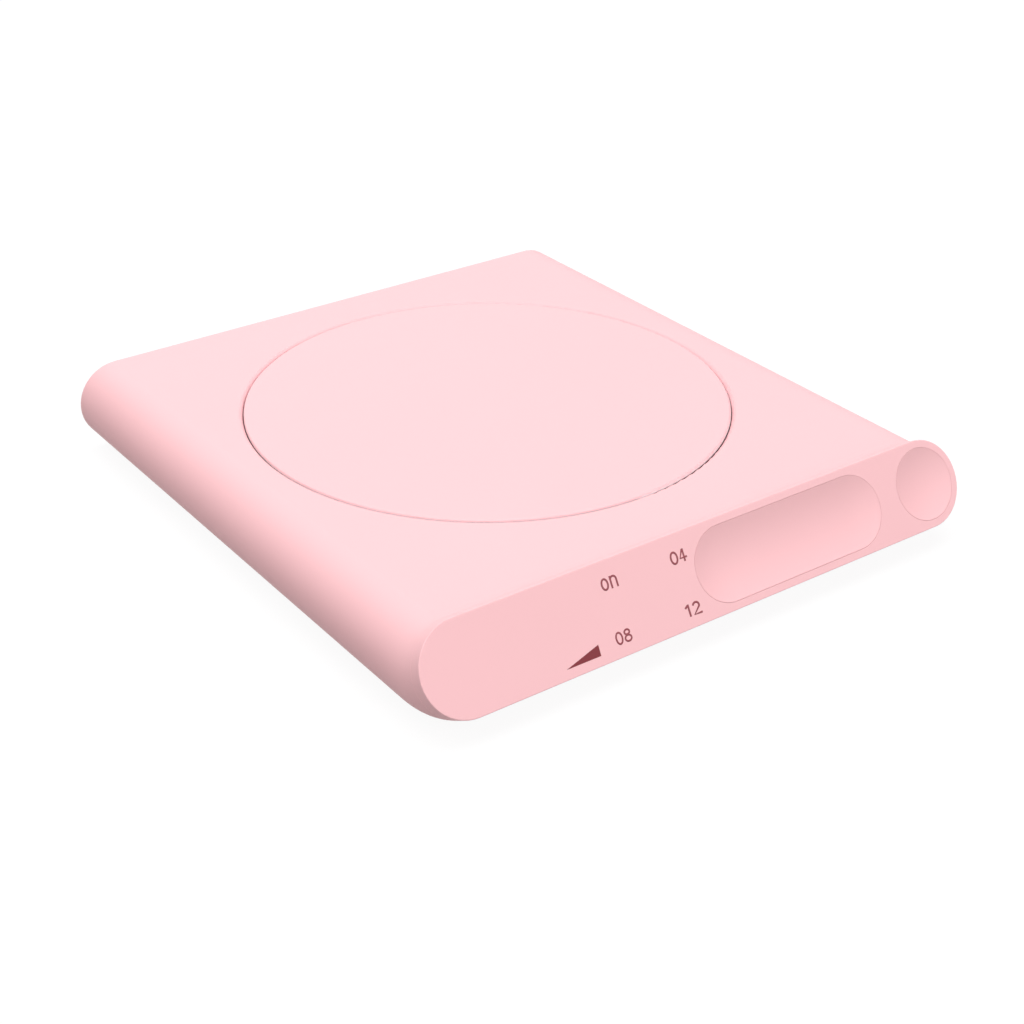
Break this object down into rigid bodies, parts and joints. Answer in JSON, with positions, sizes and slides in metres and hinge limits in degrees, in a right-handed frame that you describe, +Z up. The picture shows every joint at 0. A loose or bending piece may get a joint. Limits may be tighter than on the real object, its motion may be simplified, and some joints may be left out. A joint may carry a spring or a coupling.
{
  "type": "electric mug warmer",
  "caption": "Slim slab with fully rounded sides, a round heating plate flush in its top, and an upturned front panel with a round and a long dished push key.",
  "frame": {"origin": "centre of the bounding box on the table plane that the rubber feet stand on", "axes": "+X along the control panel towards the round power key, +Y from the panel to the back face, +Z up out of the heating plate"},
  "size_m": [0.11, 0.1195, 0.0179],
  "materials": {
    "shell": "matte moulded plastic with a fine spark-eroded texture",
    "keys": "matte moulded plastic, a shade smoother than the shell",
    "plate": "matte baked coating on aluminium",
    "feet": "matte black rubber",
    "gasket": "translucent white silicone",
    "screws": "zinc-plated steel",
    "sheet_steel": "pressed sheet steel",
    "film": "amber polyimide film",
    "pad": "white glass-fibre felt",
    "board": "green solder mask",
    "black_plastic": "black moulding compound",
    "white_plastic": "white moulded nylon",
    "lead_sheath": "white silicone sheath",
    "lamp": "clear resin over a pale phosphor"
  },
  "bodies": {
    "casing": {"housing": "shell", "base_cover": "shell", "base_screws": "screws", "rubber_feet": "feet", "heating_plate": "plate", "plate_gasket": "gasket", "heater_film": "film", "insulation_pad": "pad", "clamp_plate": "sheet_steel", "clamp_screws": "screws", "temperature_sensor": "black_plastic", "thermal_cutout": "sheet_steel", "heater_leads": "lead_sheath", "sensor_leads": "lead_sheath", "main_board": "board", "board_screws": "screws", "control_chip": "black_plastic", "power_parts": "black_plastic", "capacitors": "black_plastic", "lead_connectors": "white_plastic", "key_board": "board", "key_board_screws": "screws", "key_switches": "black_plastic", "indicator_leds": "lamp", "light_baffle": "white_plastic", "ribbon_sockets": "white_plastic", "key_ribbon": "white_plastic", "inlet_board": "board", "inlet_screws": "screws", "inlet_shell": "sheet_steel", "inlet_tongue": "black_plastic", "supply_leads": "lead_sheath"},
    "power_button": {"power_key": "keys", "power_plunger": "white_plastic"},
    "timer_button": {"timer_key": "keys", "timer_plunger": "white_plastic"}
  },
  "joints": [
    {"name": "power_press", "type": "slide", "parent": "casing", "child": "power_button", "axis": [0, 0.8616, -0.5075], "range_m": [0, 0.0006], "stiffness_N_per_m": 1500, "springref_m": -0.0004},
    {"name": "timer_press", "type": "slide", "parent": "casing", "child": "timer_button", "axis": [0, 0.8616, -0.5075], "range_m": [0, 0.0006], "stiffness_N_per_m": 1500, "springref_m": -0.0004}
  ]
}
